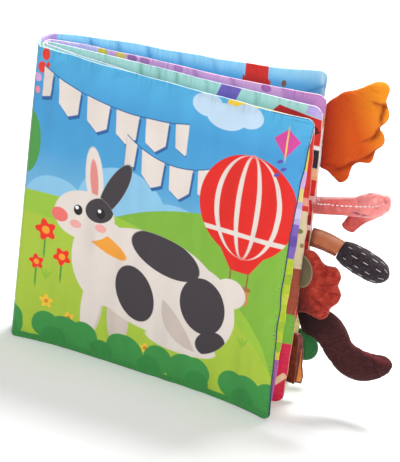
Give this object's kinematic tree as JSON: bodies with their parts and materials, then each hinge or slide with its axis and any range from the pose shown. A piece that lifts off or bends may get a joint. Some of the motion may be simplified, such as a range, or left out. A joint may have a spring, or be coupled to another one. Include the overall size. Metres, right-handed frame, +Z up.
{
  "type": "touch and feel cloth book",
  "caption": "Soft printed cloth book standing a little fanned, with padded covers and leaves and stuffed tails of different fabrics sewn into the fore-edges.",
  "frame": {"origin": "on the surface that the book stands on, under the fold of the leaves, midway between the two creases where the covers turn", "axes": "+X from the spine towards the fore-edge and the tips of the tails; -Y the side that the front cover faces; +Z up, along the spine, from foot to head"},
  "size_m": [0.2747, 0.099, 0.2326],
  "materials": {
    "cover_cloth": "printed woven cloth, slightly glossy, sewn over soft filling",
    "page_cloth": "printed woven cloth on both faces, sewn over soft filling",
    "orange_felt": "soft pleated felt",
    "pink_satin": "smooth satin with a white stitched line",
    "tan_suede": "smooth suede cloth",
    "charcoal_knit": "knit with short pale stitches",
    "rust_plush": "short plush",
    "khaki_cloth": "flat woven cloth",
    "brown_velvet": "dark velvet",
    "green_felt": "felt with a stitched rim",
    "maroon_satin": "folded satin cloth",
    "orange_lining": "thin lining cloth"
  },
  "bodies": {
    "spine_and_leaves": {"spine": "cover_cloth", "pages": "page_cloth", "orange_tail": "orange_felt", "pink_tail": "pink_satin", "tan_tail": "tan_suede", "tan_tail_tuft": "charcoal_knit", "rust_tail": "rust_plush", "rust_tail_patch": "khaki_cloth", "long_brown_tail": "brown_velvet", "green_tail": "green_felt", "folded_tail": "maroon_satin", "folded_tail_lining": "orange_lining"},
    "front_cover": {"front_cover": "cover_cloth"},
    "back_cover": {"back_cover": "cover_cloth"}
  },
  "joints": [
    {"name": "front_cover_hinge", "type": "hinge", "parent": "spine_and_leaves", "child": "front_cover", "pos_m": [0, -0.013, 0.11], "axis": [0, 0, -1], "range_deg": [0, 150]},
    {"name": "back_cover_hinge", "type": "hinge", "parent": "spine_and_leaves", "child": "back_cover", "pos_m": [0, 0.013, 0.11], "axis": [0, 0, 1], "range_deg": [-6, 150]}
  ]
}
